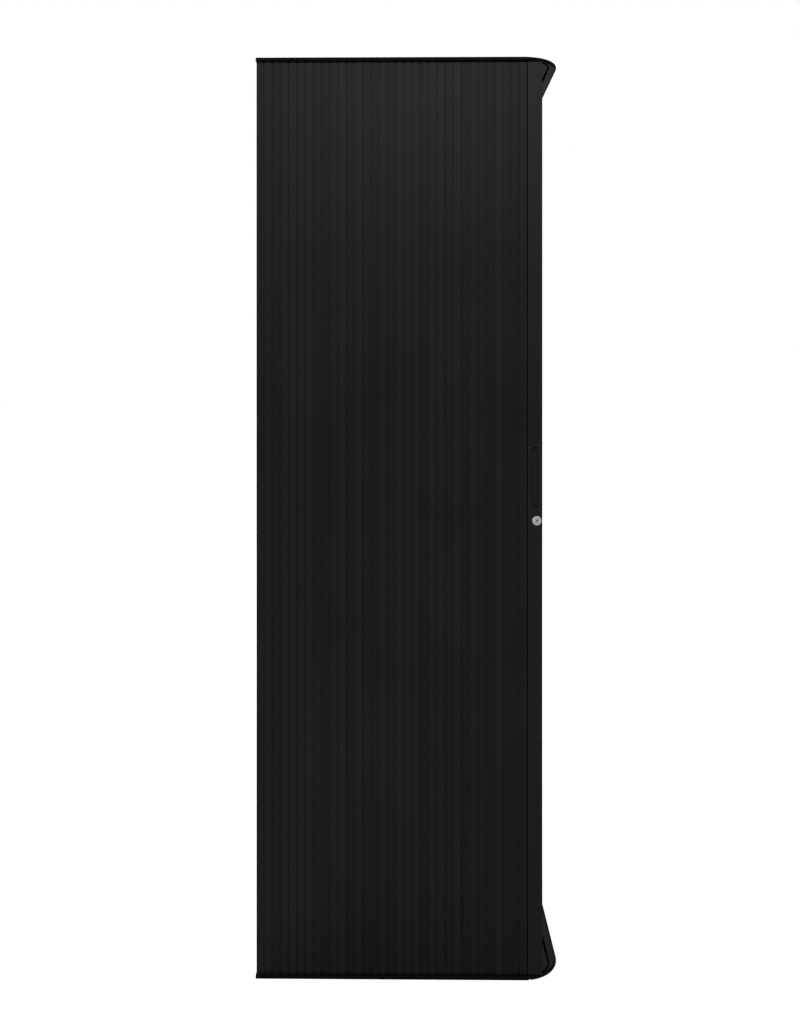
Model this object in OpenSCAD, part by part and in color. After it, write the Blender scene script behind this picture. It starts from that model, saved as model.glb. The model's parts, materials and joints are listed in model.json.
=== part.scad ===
// Tall wardrobe closed by one tambour shutter of vertical slats.
// +X is the user's right, +Y runs from the front to the back, +Z is up.
// The origin is the middle of the outline on the floor.
// The shutter opens to the right: it runs round the rounded front corner and
// back along the outside of the right side panel, guided by grooved tracks.

/* [Overall size] */
// Width over the tracks
body_w = 642; // [640:1:646]
// Depth over the tracks
body_d = 600; // [560:10:640]
// Height from the floor to the top track
body_h = 1940; // [1700:10:2100]

/* [Shutter] */
// Number of slats
slat_count = 33; // [33:1:33]
// Distance from one slat to the next
slat_pitch = 17.33; // [17.3:0.01:17.35]
// Width of a slat's front face
slat_face_w = 15.6; // [15:0.1:15.6]
// Width of a slat's back face
slat_back_w = 11; // [10.5:0.1:11]
// Thickness of a slat
slat_t = 5; // [4:0.5:5]
// Width of the closing profile at the shutter's right end
profile_w = 31.5; // [31:0.5:32]
// Depth of the closing profile, front to back
profile_t = 14; // [13:0.5:15]

/* [Tracks] */
// Outer radius of the tracks' rounded corner
corner_r = 77; // [75:1:79]
// Distance from the tracks' front edge to the middle of the groove
groove_inset = 8.5; // [8:0.5:9]
// Distance from the tracks' right edge to the middle of the groove
side_groove_inset = 20; // [19.5:0.5:20.5]
// Radius that the groove turns the corner with
turn_r = 44; // [43.5:0.5:44.5]
// Thickness of the tracks
track_t = 8.5; // [8:0.5:9]
// Width of the straight front track
track_w = 38; // [36:1:40]

/* [Carcass] */
// Thickness of the top and bottom boards
board_t = 16; // [14:1:18]
// Thickness of the side panels
side_t = 18; // [16:1:18]
// Thickness of the back panel
back_t = 6; // [4:1:8]
// Height of the hat shelf's underside above the floor
shelf_z = 1640; // [1500:10:1660]
// Diameter of the hanging rail
rail_d = 25; // [22:1:30]

/* [Lock and pull] */
// Height of the lock's centre above the floor
lock_z = 965; // [900:5:980]
// Diameter of the lock's face
lock_face_d = 20; // [18:1:20]
// Height of the pull's lower end above the floor
pull_z = 988; // [985:1:1010]
// Height of the pull
pull_h = 134; // [100:2:150]
// Width of the pull
pull_w = 19.4; // [17:0.2:19.4]

/* [Hidden] */
$fn = 48;
left_x = -body_w / 2;
right_x = body_w / 2;
front_y = -body_d / 2;
back_y = body_d / 2;

// Centre of the tracks' rounded corner
corner_x = right_x - corner_r;
corner_y = front_y + corner_r;

// Path of the shutter, and the centre that it turns round
path_y = front_y + groove_inset;
path_x = right_x - side_groove_inset;
turn_x = path_x - turn_r;
turn_y = path_y + turn_r;

// Groove in the tracks
groove_w = 5;
groove_depth = 4;
groove_stop = 3;                                // solid track that closes the groove on the left
groove_end = 30;                                // solid track behind the groove on the right

// The joint between a straight front track and the corner piece
joint_x = turn_x - 1;
joint_gap = 0.6;
corner_end_y = corner_y + 20;
notch_w = 6;                                    // V-shaped notch in the front edge at the joint
notch_rise = 6;
notch_depth = 5;
pin_d = 3;                                      // pins between the track pieces
pin_len = 9;

// Shutter
shutter_gap = 1;                                // between the shutter's ends and the tracks
shutter_z = track_t + shutter_gap;
shutter_h = body_h - 2 * shutter_z;
face_y = path_y - slat_t / 2;
profile_x = corner_x + 7;                       // left edge of the closing profile
profile_right = profile_x + profile_w;
profile_wall = 1.8;
slat_edge_r = 0.9;

// Slats by what they do when the shutter opens as far as the joint lets it:
// the first ones follow the profile to the side, the next stand round the
// corner, and the rest stay in the straight front track
turning_slats = 7;
corner_slats = 4;
first_sliding = turning_slats + corner_slats + 1;

// Carcass
side_outer_x = corner_x + 22;                   // outer face of the right side panel
side_inner_x = side_outer_x - side_t;
left_inner_x = left_x + side_t;
board_front_y = front_y + track_w;
left_front_y = front_y + 15;
right_front_y = front_y + 50;
carcass_back_y = back_y - back_t;
inner_w = side_inner_x - left_inner_x;
swing_x = 24;                                   // corner of the boards thinned for the shutter
swing_y = 19;

// Shelf and rail
shelf_t = 16;
shelf_front_y = front_y + 70;
shelf_play = 1;
shelf_pin_d = 5;
shelf_pin_len = 9;
shelf_pin_in = 8;                               // length of a pin inside the panel
rail_drop = 46;                                 // from the shelf down to the rail's axis
rail_z = shelf_z - rail_drop;
rail_y = 10;
rail_wall = 1.2;
bracket_t = 4;
bracket_w = 44;
bracket_lip = 9;
bracket_h = 52;

// Screws
screw_d = 4;
screw_head_d = 8;
screw_head_h = 2.2;
screw_fit = 0.05;
fitting_screw_len = 11;
edge_screw_len = 22;
drive_d = 2.4;                                  // recess for the driver
drive_depth = 1.2;
carcass_screw_d = 5;
carcass_screw_head_d = 9;
carcass_screw_len = 50;
track_screw_n = 5;

// Lock
lock_x = corner_x + 27;
lock_body_d = 16;
lock_rim_t = 1.5;
lock_body_back = face_y + 27;
plug_d = 11;
plug_fit = 0.05;
plug_square = 7;
key_slot_w = 1.6;
key_slot_h = 6.5;
key_slot_depth = 12;
cam_y = face_y + 28.5;                          // front face of the cam
cam_t = 2.5;
cam_w = 8;
cam_reach = 31;
cam_hook = 5;
cam_screw_d = 4;
nut_t = 4;
nut_flats = 21;

// Strike plate on the right side panel, behind the closing profile
strike_t = 2;
strike_z = lock_z + cam_w / 2 + 1;
strike_h = 30;
strike_front_y = cam_y - 2;
strike_back_y = right_front_y + 34;

// Pull
pull_x = profile_x + 5.6;
pull_corner_r = pull_w / 2 - 0.2;
pull_depth = 10;
pull_wall = 1.2;

function two_digits(i) = i < 10 ? str("0", i) : str(i);
function slat_name(i) = str("slat_", two_digits(i));
// Middle of slat i, counted from the closing profile to the left
function slat_x(i) = profile_x - (i - 0.5) * slat_pitch;

// ---------- shared shapes ----------

// A box from its lowest to its highest corner
module box(low, high) {
    translate(low) cube(high - low);
}

// A cylinder that runs from a point along +Y or, turned, along another axis
module rod_x(x, y, z, d, len) {
    translate([x, y, z]) rotate([0, 90, 0]) cylinder(d = d, h = len);
}

module rod_y(x, y, z, d, len) {
    translate([x, y, z]) rotate([-90, 0, 0]) cylinder(d = d, h = len);
}

module rod_z(x, y, z, d, len) {
    translate([x, y, z]) cylinder(d = d, h = len);
}

// An outline drawn in X and Z, extruded from one depth to another
module upright(y0, y1) {
    translate([0, y1, 0]) rotate([90, 0, 0]) linear_extrude(y1 - y0) children();
}

// The outline that all track pieces are cut from, seen from above
module track_outline() {
    difference() {
        union() {
            translate([left_x, front_y]) square([corner_x - left_x, body_d]);
            translate([left_x, corner_y]) square([body_w, body_d - corner_r]);
            translate([corner_x, corner_y]) circle(r = corner_r, $fn = 96);
        }
        translate([left_x - 1, board_front_y]) square([side_outer_x - left_x + 1, body_d]);
    }
}

// The middle of the groove, widened to its width
module groove_outline() {
    translate([left_x + groove_stop, path_y - groove_w / 2])
        square([turn_x - left_x - groove_stop, groove_w]);
    translate([path_x - groove_w / 2, turn_y])
        square([groove_w, back_y - groove_end - turn_y]);
    intersection() {
        difference() {
            translate([turn_x, turn_y]) circle(r = turn_r + groove_w / 2, $fn = 96);
            translate([turn_x, turn_y]) circle(r = turn_r - groove_w / 2, $fn = 96);
        }
        translate([turn_x, front_y]) square(turn_y - front_y);
    }
}

// Grooved track between two corners of a rectangle, groove upwards
module track_piece(low, high) {
    difference() {
        linear_extrude(track_t) intersection() {
            track_outline();
            translate(low) square(high - low);
        }
        translate([0, 0, track_t - groove_depth]) linear_extrude(groove_depth + 1)
            groove_outline();
    }
}

// Turns a bottom piece into the matching top piece
module at_top() {
    translate([0, 0, body_h]) mirror([0, 0, 1]) children();
}

// ---------- tracks, each notched in its lower front edge ----------

function track_screw_x(i) = left_x + 40 + i * (joint_x - left_x - 80) / (track_screw_n - 1);
function track_screw_y(i) = corner_end_y + 40 + i * (back_y - corner_end_y - 80) / (track_screw_n - 1);
front_screw_y = board_front_y - 6;
side_screw_x = side_outer_x + 8;

// Screws that run sideways from a track into the edge of a board
edge_head_d = track_t - 2;

module edge_screw_front(x) {
    rod_y(x, front_screw_y, track_t / 2, screw_d, edge_screw_len);
    rod_y(x, front_screw_y - screw_head_h, track_t / 2, edge_head_d, screw_head_h);
}

module edge_screw_side(y) {
    rod_x(side_screw_x - edge_screw_len, y, track_t / 2, screw_d, edge_screw_len);
    rod_x(side_screw_x, y, track_t / 2, edge_head_d, screw_head_h);
}

// Pocket in a track that an edge screw and its driver go into
module screw_pocket_front(x) {
    translate([x - 4, front_screw_y - 7, 1]) cube([8, 7, track_t]);
    rod_y(x, front_screw_y - 1, track_t / 2, screw_d + 2 * screw_fit, 30);
}

module screw_pocket_side(y) {
    translate([side_screw_x, y - 4, 1]) cube([7, 8, track_t]);
    rod_x(side_screw_x - 30, y, track_t / 2, screw_d + 2 * screw_fit, 31);
}

// Notch in the front edge where the front track meets the corner piece; it is
// widest at height z and comes to a point in the given direction, 1 up or -1 down
module joint_notch(z, direction) {
    upright(front_y - 1, front_y + notch_depth)
        translate([joint_x - joint_gap / 2, z]) polygon([
            [-0.6 * notch_w, -0.2 * notch_rise * direction],
            [0.6 * notch_w, -0.2 * notch_rise * direction],
            [0, notch_rise * direction]
        ]);
}

module front_track(notch_z, direction) {
    difference() {
        track_piece([left_x, front_y], [joint_x - joint_gap, board_front_y]);
        joint_notch(notch_z, direction);
        for (i = [0:track_screw_n - 1]) screw_pocket_front(track_screw_x(i));
        rod_x(joint_x - pin_len - 1, front_screw_y, track_t / 2, pin_d + 2 * screw_fit, pin_len + 2);
    }
}

// The corner piece has a moulded pin for each straight track
module corner_track(notch_z, direction) {
    difference() {
        track_piece([joint_x, front_y], [right_x, corner_end_y - joint_gap]);
        joint_notch(notch_z, direction);
    }
    rod_x(joint_x - pin_len, front_screw_y, track_t / 2, pin_d, pin_len + 2);
    rod_y(side_screw_x, corner_end_y - joint_gap - 2, track_t / 2, pin_d, pin_len + 2);
}

module side_track() {
    difference() {
        track_piece([side_outer_x, corner_end_y], [right_x, back_y]);
        for (i = [0:track_screw_n - 1]) screw_pocket_side(track_screw_y(i));
        rod_y(side_screw_x, corner_end_y - 2, track_t / 2, pin_d + 2 * screw_fit, pin_len + 2);
    }
}

module bottom_track_front() {
    color("#16171a") front_track(0, 1);
}

module bottom_track_corner() {
    color("#1b1c1f") corner_track(0, 1);
}

module bottom_track_side() {
    color("#16171a") side_track();
}

module top_track_front() {
    color("#16171a") at_top() front_track(track_t, -1);
}

module top_track_corner() {
    color("#1b1c1f") at_top() corner_track(track_t, -1);
}

module top_track_side() {
    color("#16171a") at_top() side_track();
}

// ---------- carcass ----------

side_screw_inset = 60;
function carcass_screw_y(i) = board_front_y + side_screw_inset
    + i * (carcass_back_y - board_front_y - 2 * side_screw_inset) / 2;

// One carcass screw, head down, that runs up from a board into a side panel
module carcass_screw(x, y) {
    rod_z(x, y, 0.5, carcass_screw_head_d, 3);
    rod_z(x, y, 3.5, carcass_screw_d, carcass_screw_len - 3.5);
}

module carcass_screw_hole(x, y) {
    rod_z(x, y, -1, carcass_screw_head_d + 0.4, 4.5);
    rod_z(x, y, 0, carcass_screw_d + 2 * screw_fit, carcass_screw_len + 1);
}

module at_carcass_screws() {
    for (x = [left_x + side_t / 2, side_outer_x - side_t / 2])
        for (i = [0:2]) translate([x, carcass_screw_y(i), 0]) children();
}

// Bottom board, with its front right corner thinned on the inside
module floor_board() {
    difference() {
        box([left_x, board_front_y, 0], [side_outer_x, carcass_back_y, board_t]);
        translate([0, 0, track_t]) linear_extrude(board_t) polygon([
            [side_outer_x - swing_x, board_front_y - 1],
            [side_outer_x + 1, board_front_y - 1],
            [side_outer_x + 1, board_front_y + swing_y],
            [side_outer_x, board_front_y + swing_y],
            [side_outer_x - swing_x, board_front_y]
        ]);
        at_carcass_screws() carcass_screw_hole(0, 0);
        for (i = [0:track_screw_n - 1]) {
            rod_y(track_screw_x(i), board_front_y - 1, track_t / 2, screw_d + 2 * screw_fit, 18);
            rod_x(side_outer_x - 16, track_screw_y(i), track_t / 2, screw_d + 2 * screw_fit, 18);
        }
        for (x = back_screw_xs) back_screw_hole(x, board_t / 2);
    }
}

module bottom_board() {
    color("#232427") floor_board();
}

module top_board() {
    color("#232427") at_top() floor_board();
}

// Blind holes for the two pins that carry one side of the shelf
module shelf_pin_holes(x) {
    for (y = shelf_pin_ys)
        rod_x(x, y, shelf_z - shelf_pin_d / 2, shelf_pin_d + 2 * screw_fit, shelf_pin_in + 0.5);
}

module bracket_screw_holes(x) {
    for (y = [-1, 1]) rod_x(x, rail_y + y * bracket_screw_dy, bracket_screw_z, screw_d + 2 * screw_fit, 12);
}

shelf_pin_ys = [shelf_front_y + 60, carcass_back_y - 60];
bracket_screw_dy = 16;
bracket_screw_z = rail_z + 22;
strike_screw_ys = [right_front_y + 10, right_front_y + 25];

module side_panel(x, y) {
    difference() {
        box([x, y, board_t], [x + side_t, carcass_back_y, body_h - board_t]);
        at_carcass_screws() carcass_screw_hole(0, 0);
        at_top() at_carcass_screws() carcass_screw_hole(0, 0);
        for (z = back_screw_zs) back_screw_hole(x + side_t / 2, z);
    }
}

module left_side_panel() {
    color("#232427") difference() {
        side_panel(left_x, left_front_y);
        shelf_pin_holes(left_inner_x - shelf_pin_in - 0.5);
        bracket_screw_holes(left_inner_x - 12);
    }
}

module right_side_panel() {
    color("#232427") difference() {
        side_panel(side_inner_x, right_front_y);
        shelf_pin_holes(side_inner_x);
        bracket_screw_holes(side_inner_x);
        for (y = strike_screw_ys)
            rod_x(side_inner_x, y, strike_z + strike_h / 2, screw_d + 2 * screw_fit, 12);
    }
}

back_screw_xs = [for (i = [0:3]) left_x + 60 + i * (side_outer_x - left_x - 120) / 3];
back_screw_zs = [for (i = [0:5]) 90 + i * (body_h - 180) / 5];
back_screw_d = 3;
back_screw_len = 20;
back_head_d = 7;

module back_screw_hole(x, z) {
    rod_y(x, back_y - back_screw_len - 1, z, back_screw_d + 2 * screw_fit, back_screw_len + 2);
    rod_y(x, back_y - screw_head_h, z, back_head_d + 0.2, screw_head_h + 1);
}

// Holes high in the back panel for the screws that hold the wardrobe to a wall
wall_hole_d = 6;
wall_hole_spacing = 400;
wall_hole_z = body_h - 60;

module wall_holes() {
    mid_x = (left_x + side_outer_x) / 2;
    for (x = [-1, 1])
        rod_y(mid_x + x * wall_hole_spacing / 2, carcass_back_y - 1, wall_hole_z,
            wall_hole_d, back_t + 2);
}

module at_back_screws() {
    for (x = back_screw_xs)
        for (z = [board_t / 2, body_h - board_t / 2]) translate([x, 0, z]) children();
    for (x = [left_x + side_t / 2, side_outer_x - side_t / 2])
        for (z = back_screw_zs) translate([x, 0, z]) children();
}

module back_panel() {
    color("#2d2e31") difference() {
        box([left_x, carcass_back_y, 0], [side_outer_x, back_y, body_h]);
        at_back_screws() back_screw_hole(0, 0);
        wall_holes();
    }
}

module back_panel_screws() {
    color("#3a3b3d") at_back_screws() difference() {
        union() {
            rod_y(0, back_y - back_screw_len, 0, back_screw_d, back_screw_len);
            rod_y(0, back_y - screw_head_h, 0, back_head_d, screw_head_h);
        }
        rod_y(0, back_y - drive_depth, 0, drive_d, drive_depth + 1);
    }
}

module hat_shelf() {
    color("#232427") box(
        [left_inner_x + shelf_play, shelf_front_y, shelf_z],
        [side_inner_x - shelf_play, carcass_back_y - shelf_play, shelf_z + shelf_t]);
}

module shelf_pins() {
    pin_z = shelf_z - shelf_pin_d / 2;
    whole = shelf_pin_in + shelf_pin_len;
    color("silver") for (y = shelf_pin_ys) {
        rod_x(left_inner_x - shelf_pin_in, y, pin_z, shelf_pin_d, whole);
        rod_x(side_inner_x - shelf_pin_len, y, pin_z, shelf_pin_d, whole);
    }
}

module hanging_rail() {
    color("silver") difference() {
        rod_x(left_inner_x + bracket_t / 2, rail_y, rail_z, rail_d, inner_w - bracket_t);
        rod_x(left_inner_x, rail_y, rail_z, rail_d - 2 * rail_wall, inner_w);
    }
}

// Cup that carries one end of the rail, open at the top; the panel is at x = 0
module rail_bracket() {
    difference() {
        union() {
            translate([0, -bracket_w / 2, -bracket_h / 2 + 4]) cube([bracket_t, bracket_w, bracket_h]);
            rod_x(0, 0, 0, rail_d + 8, bracket_t + bracket_lip);
        }
        rod_x(bracket_t / 2, 0, 0, rail_d + 0.2, bracket_t + bracket_lip);
        translate([bracket_t, -rail_d / 2 - 0.1, 0])
            cube([bracket_lip + 1, rail_d + 0.2, rail_d]);
        for (y = [-1, 1]) {
            rod_x(-1, y * bracket_screw_dy, bracket_screw_z - rail_z, screw_d + 2 * screw_fit, bracket_t + 2);
        }
    }
}

module rail_brackets() {
    color("#8d9094") {
        translate([left_inner_x, rail_y, rail_z]) rail_bracket();
        translate([side_inner_x, rail_y, rail_z]) mirror([1, 0, 0]) rail_bracket();
    }
}

module carcass_screws() {
    color("#3a3b3d") {
        at_carcass_screws() carcass_screw(0, 0);
        at_top() at_carcass_screws() carcass_screw(0, 0);
    }
}

// Head and shank of a small screw whose head stands on the plane x = 0
module fitting_screw() {
    difference() {
        union() {
            rod_x(-fitting_screw_len, 0, 0, screw_d, fitting_screw_len);
            rod_x(0, 0, 0, screw_head_d, screw_head_h);
        }
        rod_x(screw_head_h - drive_depth, 0, 0, drive_d, drive_depth + 1);
    }
}

module fitting_screws() {
    color("#3a3b3d") {
        for (y = [-1, 1]) {
            translate([left_inner_x + bracket_t, rail_y + y * bracket_screw_dy, bracket_screw_z])
                fitting_screw();
            translate([side_inner_x - bracket_t, rail_y + y * bracket_screw_dy, bracket_screw_z])
                mirror([1, 0, 0]) fitting_screw();
        }
        for (y = strike_screw_ys)
            translate([side_inner_x - strike_t, y, strike_z + strike_h / 2])
                mirror([1, 0, 0]) fitting_screw();
        for (i = [0:track_screw_n - 1]) {
            edge_screw_front(track_screw_x(i));
            edge_screw_side(track_screw_y(i));
            at_top() edge_screw_front(track_screw_x(i));
            at_top() edge_screw_side(track_screw_y(i));
        }
    }
}

// ---------- shutter ----------

// Cross-section of a slat, front towards -Y, with rounded front edges
module slat_section() {
    front = -slat_t / 2;
    polygon(concat(
        [for (a = [180:15:270])
            [-slat_face_w / 2 + slat_edge_r * (1 + cos(a)), front + slat_edge_r * (1 + sin(a))]],
        [for (a = [270:15:360])
            [slat_face_w / 2 - slat_edge_r * (1 - cos(a)), front + slat_edge_r * (1 + sin(a))]],
        [[slat_back_w / 2, slat_t / 2], [-slat_back_w / 2, slat_t / 2]]
    ));
}

module slat(i) {
    color("#222326") translate([slat_x(i), path_y, shutter_z])
        linear_extrude(shutter_h) slat_section();
}

// Blocks at both ends of each sliding slat that run in the grooves
glide_w = 11;
glide_t = groove_w - 1.4;
glide_h = shutter_gap + groove_depth - 1;

module slat_glides() {
    color("#3b3c40") for (i = [first_sliding:slat_count]) {
        low = [slat_x(i) - glide_w / 2, path_y - glide_t / 2];
        translate([low[0], low[1], shutter_z - glide_h]) cube([glide_w, glide_t, glide_h]);
        translate([low[0], low[1], shutter_z + shutter_h]) cube([glide_w, glide_t, glide_h]);
    }
}

// Outline of the pull's mouth, drawn in by a margin: its left corners are round
// and its right edge is straight
module pull_outline(margin) {
    r = pull_corner_r - margin;
    low = [pull_x + margin, pull_z + margin];
    high = [pull_x + pull_w - margin, pull_z + pull_h - margin];
    translate([low[0] + r, low[1]]) square([high[0] - low[0] - r, high[1] - low[1]]);
    translate([low[0], low[1] + r]) square([r, high[1] - low[1] - 2 * r]);
    for (z = [low[1] + r, high[1] - r]) translate([low[0] + r, z]) circle(r = r);
}

module leading_profile() {
    color("#28292c") difference() {
        box([profile_x + (slat_pitch - slat_face_w) / 2, face_y, shutter_z],
            [profile_right, face_y + profile_t, shutter_z + shutter_h]);
        box([profile_x + 2 * profile_wall, face_y + profile_wall, shutter_z - 1],
            [profile_right - profile_wall, face_y + profile_t - profile_wall,
             shutter_z + shutter_h + 1]);
        upright(face_y - 1, face_y + profile_wall + 1) pull_outline(0);
        rod_y(lock_x, face_y - 1, lock_z, lock_body_d + 0.1, profile_t + 2);
    }
}

module pull_cup() {
    color("#101113") difference() {
        upright(face_y, face_y + pull_depth + pull_wall) pull_outline(0.05);
        upright(face_y - 1, face_y + pull_depth) pull_outline(pull_wall);
    }
}

// ---------- lock ----------

module lock_body() {
    color("#b9bcc0") difference() {
        union() {
            rod_y(lock_x, face_y - lock_rim_t, lock_z, lock_face_d, lock_rim_t);
            rod_y(lock_x, face_y - lock_rim_t, lock_z, lock_body_d, lock_body_back - face_y + lock_rim_t);
        }
        rod_y(lock_x, face_y - lock_rim_t - 1, lock_z, plug_d + 2 * plug_fit, lock_body_back - face_y + 4);
    }
}

module lock_nut() {
    color("#8d9094") difference() {
        translate([lock_x, face_y + profile_t, lock_z]) rotate([-90, 0, 0])
            cylinder(d = nut_flats / cos(30), h = nut_t, $fn = 6);
        rod_y(lock_x, face_y + profile_t - 1, lock_z, lock_body_d + 0.1, nut_t + 2);
    }
}

module lock_plug() {
    color("#c9ccd0") difference() {
        union() {
            rod_y(lock_x, face_y - lock_rim_t, lock_z, plug_d, cam_y - face_y + lock_rim_t);
            translate([lock_x - plug_square / 2, cam_y, lock_z - plug_square / 2])
                cube([plug_square, cam_t, plug_square]);
        }
        translate([lock_x - key_slot_w / 2, face_y - lock_rim_t - 1, lock_z - key_slot_h / 2])
            cube([key_slot_w, key_slot_depth + 1, key_slot_h]);
        rod_y(lock_x, cam_y - 8, lock_z, cam_screw_d + 2 * screw_fit, 8 + cam_t + 1);
    }
}

// Hooked cam, hanging down when unlocked; its hook then points left
module lock_cam() {
    color("#8d9094") difference() {
        upright(cam_y, cam_y + cam_t) {
            translate([lock_x, lock_z]) circle(d = plug_square + 9);
            translate([lock_x - cam_w / 2, lock_z - cam_reach]) square([cam_w, cam_reach]);
            translate([lock_x - cam_w / 2 - cam_hook, lock_z - cam_reach]) square([cam_hook, 4]);
        }
        translate([lock_x - plug_square / 2 - 0.05, cam_y - 1, lock_z - plug_square / 2 - 0.05])
            cube([plug_square + 0.1, cam_t + 2, plug_square + 0.1]);
    }
}

module cam_screw() {
    color("#3a3b3d") {
        rod_y(lock_x, cam_y - 7, lock_z, cam_screw_d, 7 + cam_t);
        rod_y(lock_x, cam_y + cam_t, lock_z, plug_square + 4, 2);
    }
}

module strike_plate() {
    color("#8d9094") difference() {
        box([side_inner_x - strike_t, strike_front_y, strike_z],
            [side_inner_x, strike_back_y, strike_z + strike_h]);
        for (y = strike_screw_ys)
            rod_x(side_inner_x - strike_t - 1, y, strike_z + strike_h / 2,
                screw_d + 2 * screw_fit, strike_t + 2);
    }
}

bottom_board();
top_board();
left_side_panel();
right_side_panel();
back_panel();
hat_shelf();
shelf_pins();
hanging_rail();
rail_brackets();
bottom_track_front();
bottom_track_corner();
bottom_track_side();
top_track_front();
top_track_corner();
top_track_side();
fitting_screws();
carcass_screws();
back_panel_screws();
leading_profile();
pull_cup();
lock_body();
lock_nut();
lock_plug();
lock_cam();
cam_screw();
strike_plate();
slat_glides();
for (i = [1:slat_count]) slat(i);
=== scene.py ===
"""Looks of a tall wardrobe whose whole front is one tambour shutter of vertical slats."""

import json
import math

import bmesh
import bpy
from bpy.props import FloatProperty, FloatVectorProperty, IntProperty, PointerProperty
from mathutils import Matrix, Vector


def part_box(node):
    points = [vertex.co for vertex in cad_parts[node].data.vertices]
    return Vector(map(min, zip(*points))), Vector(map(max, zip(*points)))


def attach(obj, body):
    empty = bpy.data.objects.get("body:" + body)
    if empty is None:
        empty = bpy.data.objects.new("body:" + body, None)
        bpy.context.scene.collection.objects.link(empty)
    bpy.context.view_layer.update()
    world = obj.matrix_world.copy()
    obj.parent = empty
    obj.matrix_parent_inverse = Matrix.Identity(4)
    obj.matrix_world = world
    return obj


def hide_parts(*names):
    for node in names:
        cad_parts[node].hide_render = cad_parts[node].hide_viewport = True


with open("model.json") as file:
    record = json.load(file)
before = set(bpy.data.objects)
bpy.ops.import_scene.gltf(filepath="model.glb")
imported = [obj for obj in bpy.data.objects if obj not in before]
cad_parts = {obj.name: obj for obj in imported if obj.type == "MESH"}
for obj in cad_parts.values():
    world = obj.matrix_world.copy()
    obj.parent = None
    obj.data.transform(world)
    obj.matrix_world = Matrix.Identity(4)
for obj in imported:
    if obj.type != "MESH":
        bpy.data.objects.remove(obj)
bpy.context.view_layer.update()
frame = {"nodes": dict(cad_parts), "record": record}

bl_info = {
    "name": "Tambour wardrobe",
    "version": (1, 0, 0),
    "blender": (4, 5, 0),
    "location": "3D View > Sidebar > Wardrobe",
    "description": "Builds the visible pieces of a wardrobe with a side-sliding slatted shutter",
    "category": "Add Mesh",
}

# ---------- sizes in metres; all but the corner's radius are read from the frame ----------

MM = 0.001
BODIES = frame["record"]["behaviour"]["bodies"]
FRONT_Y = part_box("bottom_track_front")[0].y
RIGHT_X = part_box("bottom_track_side")[1].x
CORNER_R = 77 * MM
CORNER = Vector((RIGHT_X - CORNER_R, FRONT_Y + CORNER_R))
SLAT_LOW, SLAT_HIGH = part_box("slat_01")
SLAT_W = SLAT_HIGH.x - SLAT_LOW.x
SLAT_T = SLAT_HIGH.y - SLAT_LOW.y
PITCH = SLAT_LOW.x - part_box("slat_02")[0].x
FACE_Y = SLAT_LOW.y
PULL_LOW, PULL_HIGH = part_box("pull_cup")
LOCK_LOW, LOCK_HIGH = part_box("lock_body")
LOCK_X = (LOCK_LOW.x + LOCK_HIGH.x) / 2
LOCK_Z = (LOCK_LOW.z + LOCK_HIGH.z) / 2


# ---------- settings ----------

class ShutterSettings(bpy.types.PropertyGroup):
    """Sizes and colours of the shutter"""

    edge_radius: FloatProperty(
        name="Edge radius", description="Rounding of a slat's front edges",
        default=0.5 * MM, unit="LENGTH")
    back_width: FloatProperty(
        name="Back width", description="Width of a slat's back face",
        default=11 * MM, unit="LENGTH")
    web_depth: FloatProperty(
        name="Web depth", description="How far the hinge web lies behind the slats' faces",
        default=0.8 * MM, unit="LENGTH")
    web_drift: FloatProperty(
        name="Web drift", description="How much further back some webs lie than others",
        default=1.2 * MM, unit="LENGTH")
    seal_depth: FloatProperty(
        name="Seal depth", description="How far the seal behind a hinge web lies behind the faces",
        default=2.8 * MM, unit="LENGTH")
    profile_radius: FloatProperty(
        name="Profile radius", description="Rounding of the closing profile's long edges",
        default=0.8 * MM, unit="LENGTH")
    seed: IntProperty(
        name="Seed", description="Seed for the small differences between slats", default=7)
    slat_colour: FloatVectorProperty(
        name="Slat colour", description="Colour of the slats", subtype="COLOR",
        default=(0.0108, 0.0108, 0.0112))
    profile_colour: FloatVectorProperty(
        name="Profile colour", description="Colour of the closing profile", subtype="COLOR",
        default=(0.0125, 0.0125, 0.0130))


class PullSettings(bpy.types.PropertyGroup):
    """Sizes of the recessed pull and of the lock"""

    flange: FloatProperty(
        name="Flange", description="Width of the flat rim round the pull's mouth",
        default=1.2 * MM, unit="LENGTH")
    flange_height: FloatProperty(
        name="Flange height", description="How far that rim stands on the profile",
        default=0.2 * MM, unit="LENGTH")
    floor_radius: FloatProperty(
        name="Floor radius", description="Rounding between the recess's walls and floor",
        default=3.5 * MM, unit="LENGTH")
    dish_width: FloatProperty(
        name="Dish width", description="Width of the dish round the keyway",
        default=5.6 * MM, unit="LENGTH")


class TrackSettings(bpy.types.PropertyGroup):
    """Sizes and colours of the tracks and the carcass"""

    nose_radius: FloatProperty(
        name="Nose radius", description="Rounding of the tracks' outer edges",
        default=3.8 * MM, unit="LENGTH")
    soft_edge: FloatProperty(
        name="Soft edge", description="Rounding of all other edges of the tracks",
        default=0.35 * MM, unit="LENGTH")
    board_edge: FloatProperty(
        name="Board edge", description="Rounding of the boards' edges",
        default=0.8 * MM, unit="LENGTH")
    track_colour: FloatVectorProperty(
        name="Track colour", description="Colour of the tracks", subtype="COLOR",
        default=(0.0185, 0.0185, 0.0192))
    board_colour: FloatVectorProperty(
        name="Board colour", description="Colour of the carcass", subtype="COLOR",
        default=(0.0200, 0.0200, 0.0210))


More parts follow.
